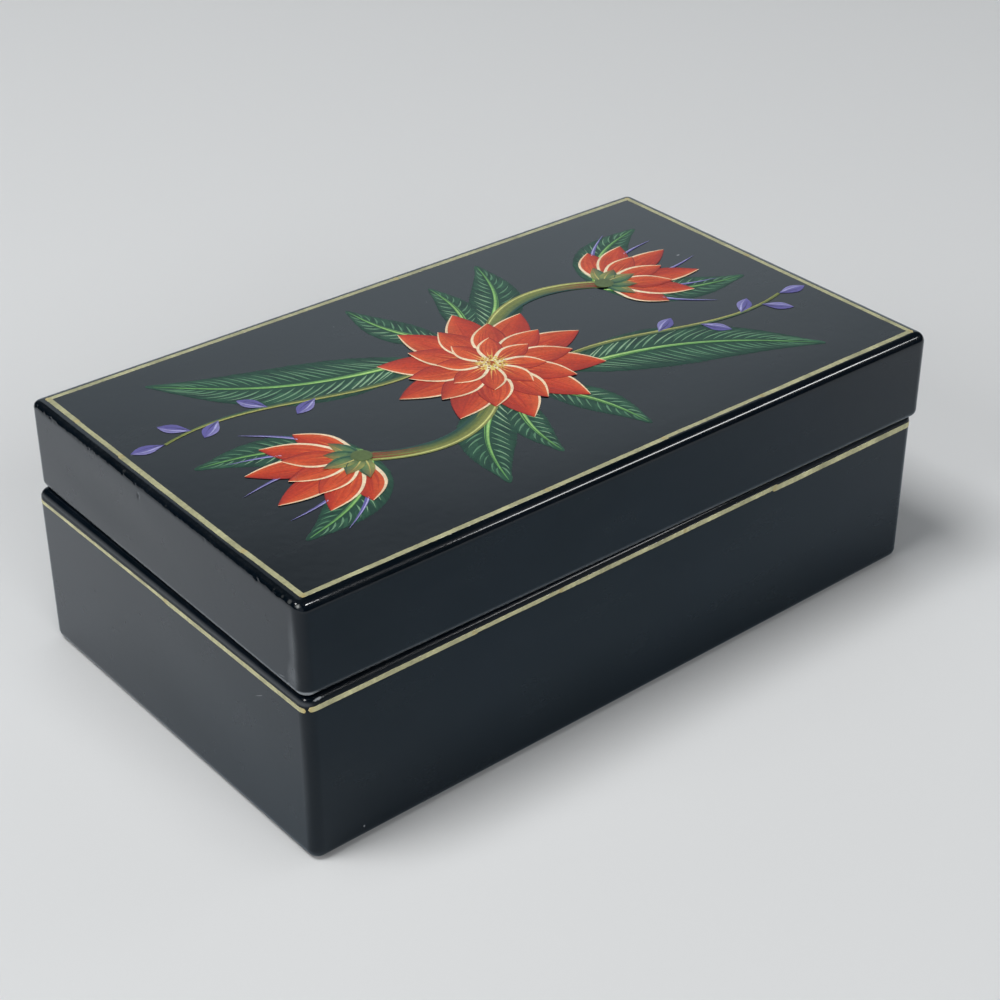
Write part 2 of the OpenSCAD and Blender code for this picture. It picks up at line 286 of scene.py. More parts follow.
def area_light(name, direction, distance, size, radiance, target=(0, 0, 0)):
    """Rectangular lamp of a given radiance that faces a target, in millimetres."""
    data = bpy.data.lights.new(name, "AREA")
    data.shape = "RECTANGLE"
    data.size, data.size_y = size
    data.energy = radiance * math.pi * size[0] * size[1]
    lamp = new_object(name, data)
    away = Vector(direction).normalized() * distance
    lamp.location = Vector(target) * MM + away
    lamp.rotation_mode = "QUATERNION"
    lamp.rotation_quaternion = (-away).to_track_quat("-Z", "Y")
    return lamp


def make_lights():
    """The soft lamps, which the gloss doesn't see, and the windows, which only the gloss sees."""
    for lamp in SOFT_LAMPS:
        area_light(*lamp).visible_glossy = False
    for lamp in WINDOWS:
        area_light(*lamp).visible_diffuse = False


def make_world():
    """Dim room whose walls to the back right and behind the camera are softly lit."""
    world = bpy.data.worlds.new("studio")
    bpy.context.scene.world = world
    n = Nodes(world)
    coords = n.add("ShaderNodeTexCoord", {}).outputs["Generated"]
    glow = ROOM_GLOW
    for towards, colour, edges in WALLS:
        facing = n.vector("DOT_PRODUCT", coords, Vector(towards).normalized())["Value"]
        glow = n.mix(n.ease(facing, edges), glow, colour)
    n.feed(n.tree.nodes["Background"], {"Color": glow})


# The floor stands in for a deep soft cloth. Its colour holds painted shade: it darkens close to
# the box as painted contact shade, and the box's gloss sees it through a painted darker
# reflection, darkest and bluest in front
FLOOR_COLOUR = (0.74, 0.75, 0.755, 1)
CONTACT_SHADE = (0.85, 1.0)
CONTACT_SHADE_AT = (0.5, 0.84)
GLOSS_NEAR = (0.25, 0.325, 0.39, 1)
GLOSS_FAR = (0.57, 0.60, 0.635, 1)
GLOSS_CENTRE = (5.0, -110.0, 0.0)
GLOSS_REACH = (35, 230)
CONTACT_SHADE_REACH = 30


def make_floor():
    """Large pale floor that keeps the box's shadow, with painted contact shade and reflection."""
    mesh = bpy.data.meshes.new("floor")
    h = FLOOR_HALF
    mesh.from_pydata([(-h, -h, 0), (h, -h, 0), (h, h, 0), (-h, h, 0)], [], [(0, 1, 2, 3)])
    n = Nodes(bpy.data.materials.new("pale_floor"))
    # Painted reflection: the gloss sees the floor darker and bluer, most in front
    away = n.ease(n.reach(GLOSS_CENTRE, (1, 1, 1)), GLOSS_REACH)
    glossy = n.add("ShaderNodeLightPath", {}).outputs["Is Glossy Ray"]
    colour = n.mix(glossy, FLOOR_COLOUR, n.mix(away, GLOSS_NEAR, GLOSS_FAR))
    # Painted contact shade close to the box
    open_sky = n.add("ShaderNodeAmbientOcclusion", {"Distance": CONTACT_SHADE_REACH * MM}).outputs["AO"]
    shade = n.ramp(open_sky, *CONTACT_SHADE, CONTACT_SHADE_AT)
    n.feed(n.shader, {"Base Color": n.mix(1.0, colour, shade, "MULTIPLY"), "Roughness": 0.9,
                      "Specular IOR Level": 0.1})
    mesh.materials.append(n.owner)
    new_object("floor", mesh)


# Materials

# Marks of use, and a painted glint on the base's rim: place in the frame, radii, tilt about X,
# how strongly the mark shows
MARKS_AND_GLINT = [
    ((-73.1, -50.0, 3.2), (0.28, 0.28, 0.28), 0, 0.8),
    ((70.1, 13.4, 60.0), (0.5, 0.25, 0.3), 0, 0.7),
    ((-79.1, 16.2, 60.0), (0.9, 0.14, 0.3), 0, 0.35),
    ((-85.0, -34.1, 31.7), (0.4, 1.5, 0.13), 31, 0.4),
    ((-84.6, -42.2, 41.0), (0.6, 1.3, 0.16), 12, 0.45),
    ((-84.6, -44.6, 40.6), (0.6, 0.5, 0.12), 0, 0.5),
    # Painted highlight: a pale spot where the base's rim glints near the front corner
    ((-81.8, -49.4, 38.3), (1.0, 0.35, 0.25), 0, 1.0),
]

# Painted sheen: pale bands that stand in for reflections along the lid's lower edges, on the
# base's rim and beside the front left corner. Place in the frame, radii, how strongly they show
PAINTED_SHEENS = [
    ((-84.0, -46.6, 50.0), (6.0, 1.9, 10.0), 0.15),
    ((-84.0, -46.0, 42.8), (6.0, 2.6, 5.0), 0.22),
    ((-85.0, -48.0, 20.0), (5.0, 1.4, 22.0), 0.04),
    ((-84.3, 0.0, 39.8), (4.0, 400.0, 0.9), 1.2),
    ((0.0, -50.0, 39.8), (400.0, 4.0, 0.95), 0.22),
    ((-85.0, 0.0, 37.8), (2.5, 400.0, 0.7), 0.19),
    ((0.0, -50.0, 37.8), (400.0, 2.5, 0.8), 0.04),
]

# How strongly a speck of dust shows, as a grey level
SPECK_SHOWS = (0.35, 0.35, 0.35, 1)

# Height and reach of the base's rim, which hands have dulled, and the coat that is left there
DULL_RIM = (38.0, 3.0)
DULL_COAT = 0.3
EVERYWHERE = 1e4

# Hollows rubbed into the lacquer: place in the frame, radii, depth
DENTS = [
    ((-84.3, 20.0, 50.0), (4.0, 30.0, 9.0), 0.12),
    ((-85.0, -10.0, 18.0), (4.0, 34.0, 16.0), 0.12),
    ((20.0, -50.3, 48.0), (46.0, 4.0, 12.0), 0.10),
    ((-30.0, -50.0, 18.0), (40.0, 4.0, 20.0), 0.10),
]


def lacquer_material(name, haze=0.045, coat=1.0, wear_and_sheen=False):
    """Black lacquer: a dark ground under a clear glossy coat with orange peel and slow waves, a
    streaky film of dust and, where worn, the marks of use together with painted light: pale bands
    of painted sheen on the edges and a painted glint on the base's rim. Chips that are stored on
    the mesh show the primer, and one of them is a painted glint at the lid's front corner."""
    n = Nodes(bpy.data.materials.new(name))
    ground = n.ramp(n.noise(38, detail=4), linear(LACQUER), linear(LACQUER_LIGHT), (0.35, 0.7))
    chips = n.add("ShaderNodeVertexColor", {}, layer_name="chip_and_glint").outputs["Color"]
    ground = n.mix(chips, ground, linear(PRIMER))
    film = n.noise(110, detail=6, roughness=0.68, stretch=(0.5, 1.2, 1.2), turn=(0.5, 0.35, 0.2))
    pale = n.mix(n.dust(120, 0.16), n.ramp(film, 0.0, 0.009, (0.42, 0.7)), SPECK_SHOWS)
    waves = n.bump(n.noise(30, detail=1, stretch=(0.6, 1, 1)), 0.0006, 0.2)
    normal = n.bump(n.noise(520, detail=2), 0.00002, 0.5, after=waves)
    n.feed(n.shader, {"Roughness": n.ramp(film, 0.22, 0.29, (0.3, 0.72)), "Coat Weight": coat,
                      "Coat Roughness": haze, "Coat IOR": 1.45, "Specular IOR Level": 0.12})
    if wear_and_sheen:
        # Marks of use, and the painted glint on the base's rim
        for place, radii, tilt, strength in MARKS_AND_GLINT:
            pale = n.mix(strength, pale, n.mark(place, radii, math.radians(tilt)), "ADD")
        # Painted sheen: pale bands that stand in for reflections
        for place, radii, strength in PAINTED_SHEENS:
            pale = n.mix(1.0, pale, n.fade(place, radii, strength, 0.0), "ADD")
        for place, radii, depth in DENTS:
            normal = n.bump(n.fade(place, radii, 0.0, 1.0), depth * MM, after=normal)
        height, reach = DULL_RIM
        left = n.fade((0, 0, height), (EVERYWHERE, EVERYWHERE, reach), DULL_COAT * coat, coat)
        n.feed(n.shader, {"Coat Weight": left})
    n.feed(n.shader, {"Base Color": n.mix(pale, ground, linear(DUST)), "Normal": normal,
                      "Coat Normal": normal})
    return n.owner


def paint_material(name, roughness, coat):
    """Brushed paint with the colour stored on the mesh, fine bristle streaks and a varnish."""
    n = Nodes(bpy.data.materials.new(name))
    colour = n.add("ShaderNodeVertexColor", {}, layer_name="paint").outputs["Color"]
    bristle = n.ramp(n.noise(1500), 0.84, 1.1, (0.3, 0.7))
    cloud = n.ramp(n.noise(190), 0.88, 1.08, (0.3, 0.7))
    shaded = n.mix(1.0, n.mix(1.0, colour, bristle, "MULTIPLY"), cloud, "MULTIPLY")
    n.feed(n.shader, {"Base Color": shaded, "Roughness": roughness, "Specular IOR Level": 0.25,
                      "Coat Weight": coat, "Coat Roughness": 0.15,
                      "Normal": n.bump(n.noise(1700, detail=2), 0.00003, 0.35)})
    return n.owner


def felt_material():
    """Dense red felt: fine fibres in two reds, clouded, under a soft sheen."""
    n = Nodes(bpy.data.materials.new("red_felt"))
    fibre = n.noise(2600, detail=4, roughness=0.7)
    cloud = n.ramp(n.noise(60), 0.85, 1.1, (0.3, 0.7))
    tone = n.ramp(fibre, linear(FELT_DARK), linear(FELT_LIGHT), (0.3, 0.72))
    n.feed(n.shader, {"Base Color": n.mix(1.0, tone, cloud, "MULTIPLY"), "Roughness": 0.95,
                      "Specular IOR Level": 0.1, "Sheen Weight": 0.35, "Sheen Roughness": 0.5,
                      "Normal": n.bump(fibre, 0.0003, 0.8)})
    return n.owner


# Mesh helpers

SHARP_ANGLE = math.radians(40)


class Builder:
    """Collects the vertices, colours and faces of one piece."""

    def __init__(self):
        self.points, self.colours, self.faces = [], [], []
        self.strokes = 0

    def point(self, p, colour=(0, 0, 0)):
        """Adds a vertex and gives its index."""
        self.points.append(tuple(p))
        self.colours.append(colour)
        return len(self.points) - 1

    def strip(self, r, s):
        """Quads that join one closed ring of points to another."""
        for i in range(len(r)):
            j = (i + 1) % len(r)
            self.faces.append((r[i], r[j], s[j], s[i]))

    def tube(self, rings):
        """Quads from each closed ring of points to the next."""
        for r, s in zip(rings, rings[1:]):
            self.strip(s, r)

    def bar(self, rings):
        """A tube whose ends are closed by the first and last ring."""
        self.tube(rings)
        self.faces += [tuple(rings[0]), tuple(reversed(rings[-1]))]

    def piece(self, name, material, body, node, slot, matrix=None, layer="paint", smooth=False):
        """Makes the object, rides it on a body and lets it stand for a CAD node."""
        matrix = matrix or Matrix.Identity(4)
        mesh = bpy.data.meshes.new(name)
        mesh.from_pydata([tuple((matrix @ Vector(p)) * MM) for p in self.points], [], self.faces)
        colours = mesh.color_attributes.new(layer, "FLOAT_COLOR", "POINT")
        colours.data.foreach_set("color", [c for colour in self.colours for c in linear(colour)])
        mesh.materials.append(material)
        shape = bmesh.new()
        shape.from_mesh(mesh)
        bmesh.ops.recalc_face_normals(shape, faces=shape.faces)
        shape.to_mesh(mesh)
        shape.free()
        mesh.polygons.foreach_set("use_smooth", [smooth] * len(mesh.polygons))
        if smooth:
            mesh.set_sharp_from_angle(angle=SHARP_ANGLE)
        obj = new_object(name, mesh)
        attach(obj, body)
        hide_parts(node)
        return obj


def turned(degrees):
    """Unit vector at an angle from X."""
    angle = math.radians(degrees)
    return Vector((math.cos(angle), math.sin(angle)))


def outline(half_l, half_w, radius, spacings, corner_steps=10):
    """Points round a rounded rectangle, each with the direction that faces outwards there.
    It starts with the front side and runs anticlockwise; spacings has one value for each side."""
    inner = Vector((half_l - radius, half_w - radius))
    centres = [Vector((inner.x, -inner.y)), inner, Vector((-inner.x, inner.y)), -inner]
    points = []
    for side, spacing in enumerate(spacings):
        a, b = centres[side - 1], centres[side]
        facing = 90 * side - 90
        steps = math.ceil((b - a).length / spacing)
        for i in range(steps):
            points.append((a.lerp(b, i / steps) + turned(facing) * radius, turned(facing)))
        for i in range(corner_steps):
            out = turned(facing + 90 * i / corner_steps)
            points.append((b + out * radius, out))
    return points


# The lid's top panel, whose left arris is sharper than the others, pitted and chipped. One pale
# chip at the front corner also stands as a painted glint

PANEL_SPACINGS = (0.9, 1.6, 1.6, 0.3)
ROLL_STEPS = 16
SIDE_STEPS = 8
FLAT_RIM = 0.15
LEFT_EDGE_R = 1.4
# Wear of the lacquer falls off away from the left side. Its shares are in the middle of that
# side, on the other sides and at the corners, which are calm for a reach and then rise. SETTLE
# is how fast it ends before the flat top, and only points that are PITTED have pits.
WEAR_REACH = 3.5
WEAR_MIDDLE = 0.3
WEAR_ELSEWHERE = 0.05
WEAR_CORNER = 0.12
CORNER_CALM = 1.5
CORNER_RISE = 4
LUMP_SIZE = 0.95
LUMP_DEPTH = 0.17
FINE_PITCH = 3
FINE_DEPTH = 0.03
SETTLE = 8
PITTED = 0.3
# Band next to the flat top where the ground shows: its strength and its first and full roll
WORN_BAND = 0.16
BAND_ROLLS = (48, 62)
PIT_SEED = 11
PIT_COUNT = 40
PIT_ROLLS = (8, 75)
PIT_RADII = (0.25, 0.6)
PIT_DEPTHS = (0.04, 0.13)
BARE_PITS = 0.15
BARE_PIT = 0.3
# Nicks seen in the photo: place in lid coordinates, radius, depth, bare primer
NICKS = [
    (Vector((-85.0, 5.9, -3.1)), 0.55, 0.3, 0.0),
    # Painted highlight: this pale bare chip sits where the front corner glints
    (Vector((-84.2, -48.7, -0.6)), 0.5, 0.06, 1.0),
    (Vector((-84.6, -46.6, -0.45)), 0.7, 0.05, 0.5),
    (Vector((-84.6, -44.4, -0.5)), 0.45, 0.04, 0.35),
    (Vector((-84.55, -41.5, -0.45)), 0.4, 0.04, 0.3),
]


def arris_pits():
    """The nicks, and random pits along the left arris in the same form."""
    rng = random.Random(PIT_SEED)
    pits = list(NICKS)
    for _ in range(PIT_COUNT):
        y = LID_HALF_W * math.copysign(rng.random() ** 0.6, rng.random() - 0.5)
        roll = math.radians(rng.uniform(*PIT_ROLLS))
        x = -LID_HALF_L + LEFT_EDGE_R * (1 - math.cos(roll))
        z = -LEFT_EDGE_R * (1 - math.sin(roll))
        bare = BARE_PIT if rng.random() < BARE_PITS else 0.0
        radius, depth = rng.uniform(*PIT_RADII), rng.uniform(*PIT_DEPTHS)
        pits.append((Vector((x, y, z)), radius, depth, bare))
    return pits


def wear(p, roll, pits):
    """How deep the lacquer is worn at a point of the arris, and how bare it is. Both end before
    the flat top, whose one large face would spread them."""
    near_left = math.exp(-max(0.0, p.x + LID_HALF_L - TOP_EDGE_R) / WEAR_REACH)
    ends = WEAR_MIDDLE + (1 - WEAR_MIDDLE) * (p.y / LID_HALF_W) ** 2
    from_corner = LID_HALF_W - abs(p.y) - CORNER_CALM
    at_corner = min(1.0, max(WEAR_CORNER, from_corner / CORNER_RISE))
    amount = WEAR_ELSEWHERE + (1 - WEAR_ELSEWHERE) * near_left * ends
    amount = math.sin(2 * roll) * amount * at_corner
    lumps = 0.5 + 0.5 * noise.noise(p / LUMP_SIZE)
    fine = 0.5 + 0.5 * noise.noise(p * FINE_PITCH)
    depth = amount * (LUMP_DEPTH * lumps * lumps * 2 + FINE_DEPTH * fine)
    settle = min(1.0, SETTLE * math.cos(roll))
    start, full = BAND_ROLLS
    band = settle * min(1.0, max(0.0, (math.degrees(roll) - start) / (full - start)))
    ragged = 0.35 + 0.65 * fine + 0.5 * noise.noise(p * 1.3)
    bare = near_left ** 4 * band * WORN_BAND * ragged
    if near_left > PITTED:
        for place, radius, deep, shows in pits:
            reach = (p - place).length / radius
            if reach < 1:
                bowl = (1 - reach * reach) ** 2 * settle
                depth += deep * bowl
                bare = max(bare, shows * min(1.0, 2 * bowl))
    return depth, bare


def panel_rings(radius):
    """Inset, height and roll angle of each ring where the arris has a given radius, from the
    glue line up to the flat top."""
    rings = []
    for i in range(SIDE_STEPS):
        rings.append((0.0, -PANEL_T + (PANEL_T - radius) * i / SIDE_STEPS, 0.0))
    for i in range(ROLL_STEPS + 1):
        roll = math.pi / 2 * i / ROLL_STEPS
        rings.append((radius * (1 - math.cos(roll)), -radius * (1 - math.sin(roll)), roll))
    rings.append((radius + FLAT_RIM, 0.0, math.pi / 2))
    return rings


def make_top_panel(material):
    """The panel as one skin: columns of points from the glue line over the arris, and two caps."""
    b = Builder()
    pits = arris_pits()
    columns = []
    for place, out in outline(LID_HALF_L, LID_HALF_W, CORNER_R, PANEL_SPACINGS):
        towards_left = max(0.0, -out.x) ** 2
        radius = TOP_EDGE_R + (LEFT_EDGE_R - TOP_EDGE_R) * towards_left
        column = []
        for inset, height, roll in panel_rings(radius):
            at = place - out * inset
            p = Vector((at.x, at.y, height))
            depth, bare = wear(p, roll, pits)
            facing = Vector((out.x * math.cos(roll), out.y * math.cos(roll), math.sin(roll)))
            column.append(b.point(p - facing * depth, (255 * bare,) * 3))
        columns.append(column)
    rings = list(zip(*columns))
    for r, s in zip(rings, rings[1:]):
        b.strip(r, s)
    b.faces += [rings[-1], tuple(reversed(rings[0]))]
    b.piece("lid_top_panel_worn", material, "lid", "lid_top_panel", "black_lacquer", LID,
            layer="chip_and_glint", smooth=True)


# Gold lines, brushed by hand in strokes whose width and edges vary

# Strokes of the lid's line for each side, front first: from, to, shift inwards at the start and
# at the end, width
LID_STROKES = [
    [(0.0, 0.36, -0.18, -0.30, 1.20), (0.35, 0.55, -0.28, -0.04, 1.17),
     (0.54, 0.72, 0.12, 0.14, 1.05), (0.71, 1.0, 0.04, 0.08, 1.24)],
    [(0.0, 0.55, 0.0, 0.03, 1.14), (0.54, 1.0, 0.05, 0.0, 1.16)],
    [(0.0, 0.45, 0.0, 0.0, 1.2), (0.44, 1.0, -0.05, 0.0, 1.15)],
    [(0.0, 0.14, 0.04, 0.04, 1.25), (0.13, 0.33, -0.06, -0.12, 1.14),
     (0.32, 0.8, -0.24, -0.36, 1.30), (0.79, 1.0, -0.22, -0.05, 1.2)],
]
# Strokes of the base's line, in the same way, with the shifts upwards
BASE_STROKES = [
    [(0.0, 0.24, 0.42, 0.42, 1.18), (0.23, 0.37, 0.48, 0.46, 1.0), (0.365, 0.58, 0.42, 0.38, 1.1),
     (0.57, 0.74, 0.42, 0.38, 1.16), (0.73, 1.0, 0.02, -0.04, 1.42)],
    [(0.0, 0.6, 0.0, 0.03, 1.1), (0.59, 1.0, 0.06, 0.0, 1.16)],
    [(0.0, 0.4, 0.0, 0.04, 1.14), (0.39, 1.0, 0.05, 0.0, 1.08)],
    [(0.0, 0.52, -0.2, 0.05, 0.92), (0.51, 1.0, -0.06, 0.1, 1.16)],
]
BASE_LINE_GAP = 0.45
LINE_STEP = 0.25
LINE_BEVEL = 0.07
LINE_SINK = 0.03
LEAST_HALF = 0.02
# Level of a side's first stroke in coats, and how much higher each next one lies
LINE_LEVEL = 0.75
LINE_RISE = 0.06
# Height and length of the waves in a stroke's edges and in its tone
EDGE_FINE, EDGE_SLOW = (0.05, 0.9), (0.06, 7)
TONE_FINE, TONE_SLOW = (0.07, 0.8), (0.16, 5)
POOL_REACH = 1.6
POOL_SHARE = 0.55
# Noise seeds that each side takes up, and the first one of the base
SIDE_SEEDS = 9
BASE_SEED = 50


def waver(run, wave, seed, kind):
    """Height of an uneven wave at a run."""
    height, length = wave
    return height * noise.noise((run / length, seed, kind))


def brushed_line(b, place, start, end, middles, width, lift, seed, gold):
    """One stroke with round ends, where the paint pools. place gives the point for a run, a
    place across and a lift; middles are the places across of the stroke's two ends."""
    steps = math.ceil((end - start) / LINE_STEP)
    rings = []
    for i in range(steps + 1):
        run = start + (end - start) * i / steps
        middle = middles[0] + (middles[1] - middles[0]) * i / steps
        tip = min(1.0, min(run - start, end - run) / (width / 2))
        half = width / 2 * math.sqrt(max(0.0, 1 - (1 - tip) ** 2))
        edges = []
        for side in (-1, 1):
            ragged = waver(run, EDGE_FINE, seed, side) + waver(run, EDGE_SLOW, seed, side)
            edges.append(middle + side * max(LEAST_HALF, half + ragged * tip))
        tone = 1.0 + waver(run, TONE_SLOW, seed, 7) + waver(run, TONE_FINE, seed, 9)
        pooled = POOL_SHARE * max(0.0, 1 - min(run - start, end - run) / POOL_REACH)
        colour = mix(tuple(c * tone for c in gold), POOLED_GOLD, pooled)
        low, high = edges
        bevel = min(LINE_BEVEL, (high - low) / 3)
        corners = ((low, -LINE_SINK), (low + bevel, lift), (high - bevel, lift),
                   (high, -LINE_SINK))
        rings.append([b.point(place(run, across, up), colour) for across, up in corners])
    for r, s in zip(rings, rings[1:]):
        b.strip(r, s)
    b.faces += [tuple(reversed(rings[0])), tuple(rings[-1])]


def brushed_side(b, place, strokes, first, span, middle, seed, gold):
    """The strokes of one side, which starts at a first run and spans a length."""
    for k, (low, high, *shifts, width) in enumerate(strokes):
        middles = [middle + shift for shift in shifts]
        brushed_line(b, place, first + low * span, first + high * span, middles, width,
                     COAT * (LINE_LEVEL + LINE_RISE * k), seed + k, gold)


def make_lid_line(material):
    """Frame of gold on the lid's top. Runs are along a side and places across are inwards."""
    b = Builder()
    signs = ((-1, -1), (1, -1), (1, 1), (-1, 1))
    corners = [Vector((x * GOLD_HALF_L, y * GOLD_HALF_W)) for x, y in signs]
    for side, strokes in enumerate(LID_STROKES):
        start = corners[side]
        along = corners[(side + 1) % 4] - start
        length = along.length
        along.normalize()
        inwards = Vector((-along.y, along.x))

        def place(run, across, up):
            return (*(start + along * run + inwards * across), up)

        brushed_side(b, place, strokes, 0, length, LID_LINE_W / 2, side * SIDE_SEEDS, LID_GOLD)
    b.piece("lid_gold_line_brushed", material, "lid", "lid_gold_line", "gold_paint", LID)


def make_base_line(material):
    """Gold line round the base. Runs are along the wall and places across are heights."""
    b = Builder()
    low, high = (p.z for p in node_box("base_gold_line"))
    edge = outline(BASE_HALF_L, BASE_HALF_W, CORNER_R, (1, 1, 1, 1), corner_steps=12)
    loop = edge + edge[:1]
    runs = [0.0]
    for (p, _), (q, _) in zip(loop, loop[1:]):
        runs.append(runs[-1] + (q - p).length)
    whole = runs[-1]

    def place(run, across, up):
        run %= whole
        i = min(bisect.bisect_right(runs, run), len(runs) - 1) - 1
        t = (run - runs[i]) / (runs[i + 1] - runs[i])
        p = loop[i][0].lerp(loop[i + 1][0], t)
        out = loop[i][1].lerp(loop[i + 1][1], t).normalized()
        return (*(p + out * up), across)

    arc = CORNER_R * math.pi / 2
    lengths = (2 * (BASE_HALF_L - CORNER_R) + arc, 2 * (BASE_HALF_W - CORNER_R) + arc) * 2
    start = -arc / 2
    for side, strokes in enumerate(BASE_STROKES):
        first, span = start + BASE_LINE_GAP / 2, lengths[side] - BASE_LINE_GAP
        seed = BASE_SEED + side * SIDE_SEEDS
        # The base's line takes the lighter gold, which is painted light
        brushed_side(b, place, strokes, first, span, (low + high) / 2, seed, LIT_BASE_GOLD)
        start += lengths[side]
    b.piece("base_gold_line_brushed", material, "base", "base_gold_line", "gold_paint")


# The painted spray, in lid coordinates. A blade is a leaf or a petal: its middle line runs
# from its start along its turn and bows to one side by a share of its length.

# Its nodes and their material slots
SPRAY_PIECES = [
    ("painted_leaves", "leaf_green_paint"),
    ("painted_leaf_ribs", "rib_green_paint"),
    ("painted_stems", "stem_olive_paint"),
    ("painted_violet_sprigs", "violet_paint"),
    ("painted_petals", "petal_red_paint"),
    ("painted_inner_petals", "petal_orange_paint"),
    ("painted_flower_hearts", "cream_paint"),
]
# Half of the spray, in shares of its length, as in the part's source:
# start, turn, length, breadth, bow
LEAVES = [
    ((-0.064, 0.074), 153, 0.385, 0.115, 0.10),
    ((-0.276, -0.077), 154, 0.218, 0.077, -0.10),
    ((-0.276, -0.096), 212, 0.212, 0.077, 0.10),
    ((-0.051, -0.077), 235, 0.224, 0.080, -0.10),
    ((-0.006, 0.090), 108, 0.180, 0.061, 0.08),
    ((0.032, 0.090), 74, 0.160, 0.054, -0.08),
]
LEAF_BELLY = 0.8
PETAL_BELLY = 1.22
STEM = [(-0.038, -0.051), (-0.128, -0.154), (-0.218, -0.141), (-0.288, -0.090)]
TENDRIL = [(-0.064, 0.051), (-0.218, 0.026), (-0.308, 0.141), (-0.468, 0.096)]
STEM_BREADTHS = (0.029, 0.022)
TENDRIL_BREADTHS = (0.010, 0.005)
# Rings of the middle flower: petals, length, breadth, first turn
RINGS = [(10, 0.160, 0.0615, 0), (10, 0.122, 0.051, 18), (8, 0.077, 0.036, 9)]
SIDE_AT = (-0.288, -0.090)
SIDE_TURN = 176


def pairs(*kinds):
    """Petals on either side of a side flower's middle: turn, length, breadth."""
    return [(side * turn, length, breadth) for turn, length, breadth in kinds for side in (-1, 1)]


SIDE_PETALS = pairs((66, 0.109, 0.047), (42, 0.135, 0.047), (16, 0.154, 0.047))
SIDE_INNER = pairs((28, 0.104, 0.040)) + [(0, 0.109, 0.040)]
SIDE_SEPALS = pairs((70, 0.056, 0.024), (36, 0.050, 0.026)) + [(0, 0.058, 0.026)]
TONGUE_TURNS = (-53, -28, 0, 28, 53)
TONGUE_LENGTH = 0.173
TONGUE_BREADTH = 0.01
TONGUE_BOW = 0.10
BUDS = [(0.45, 205), (0.62, 120), (0.8, 215), (0.9, 130), (1.0, 172)]
BUD_SIZE = (0.048, 0.022)
HEART_R = 0.023
CUP_R = 0.018

# Levels of the brushwork: rise from coat to coat in millimetres, and in coats the spread of the
# strokes within one coat, the thickness of strokes, blades and dots, and the tilt of petals
PAINT_STEP = COAT / 2
LEVEL_SPREAD = 0.3
STROKE_COATS = 0.45
BLADE_COATS = 0.4
DOT_COATS = 0.5
PETAL_TILT = 0.6
# Share of the breadth that the upper side of strokes, blades and dots has
STROKE_CROWN = 0.8
BLADE_CROWN = 0.96
DOT_CROWN = 0.85
LEAST_STROKE = 0.03
# Coats at which the stems, the violet buds and tongues, the petals and sepals from the lowest to
# the highest, the seeds and the cups lie
STEM_COAT = 2
VIOLET_COAT = 3
PETAL_COATS = (4, 6.1, 8.2)
SEED_COAT = 10.3
CUP_COAT = 11.2
# Spacing of the leaves' streaks and veins, and how many streaks, steps and seeds there are
LEAF_STREAK_STEP = 0.62
VEIN_STEP = 2.7
PETAL_STREAKS = 11
STEM_STEPS = 44
SEEDS = 60
SPRAY_SEED = 4
GOLDEN_SHARE = 0.618034
GOLDEN_TURN = 137.508


class Blade:
    """A leaf or petal. tilt raises one edge by that many coats, so that petals overlap."""

    def __init__(self, at, turn, length, breadth, bow=0.0, belly=PETAL_BELLY):
        self.at, self.turn = Vector(at) * SPRAY_L, math.radians(turn)
        self.length, self.breadth = length * SPRAY_L, breadth * SPRAY_L
        self.bow, self.belly, self.tilt = bow, belly, 0.0

    def point(self, t, across):
        """Point a share t along the blade and a share across from its middle to its edge."""
        slope = math.atan(self.bow * math.pi * math.cos(math.pi * t))
        half = self.breadth / 2 * math.sin(math.pi * min(max(t, 0), 1) ** self.belly) * across
        x = self.length * t - math.sin(slope) * half
        y = self.length * self.bow * math.sin(math.pi * t) + math.cos(slope) * half
        c, s = math.cos(self.turn), math.sin(self.turn)
        return Vector((self.at.x + x * c - y * s, self.at.y + x * s + y * c))

    def line(self, start, end, across, steps):
        """Points along the blade at one place across."""
        return [self.point(start + (end - start) * i / steps, across) for i in range(steps + 1)]


def curve_point(p, t):
    """Point on a curve with four control points."""
    u = 1 - t
    shares = (u * u * u, 3 * t * u * u, 3 * t * t * u, t * t * t)
    return Vector([sum(s * q[axis] for s, q in zip(shares, p)) for axis in (0, 1)])


def tapered(width, steps, start, end):
    """Widths of a stroke that swells over a share start of its run and thins over end."""
    widths = []
    for i in range(steps + 1):
        t = i / steps
        rise = min(1.0, t / start) ** 0.7 if start else 1.0
        fall = min(1.0, (1 - t) / end) ** 0.8 if end else 1.0
        widths.append(width * rise * fall)
    return widths


def sideways(points, i):
    """Direction across a line of points at one of them."""
    run = (points[min(i + 1, len(points) - 1)] - points[max(i - 1, 0)]).normalized()
    return Vector((-run.y, run.x))


def stroke(b, points, widths, coat, colour, end_colour=None):
    """One flat brush stroke along the points. coat is its level in coats of paint, and each
    stroke of a piece lies a little off the level of the one before."""
    end_colour = end_colour or colour
    b.strokes += 1
    coat += LEVEL_SPREAD * (b.strokes * GOLDEN_SHARE % 1)
    low, top = coat * PAINT_STEP, (coat + STROKE_COATS) * PAINT_STEP
    rings = []
    for i, p in enumerate(points):
        half = sideways(points, i) * max(widths[i], LEAST_STROKE) / 2
        crown = half * STROKE_CROWN
        tone = mix(colour, end_colour, i / (len(points) - 1))
        corners = ((p - half, low), (p + half, low), (p + crown, top), (p - crown, top))
        rings.append([b.point((*at, z), tone) for at, z in corners])
    b.bar(rings)


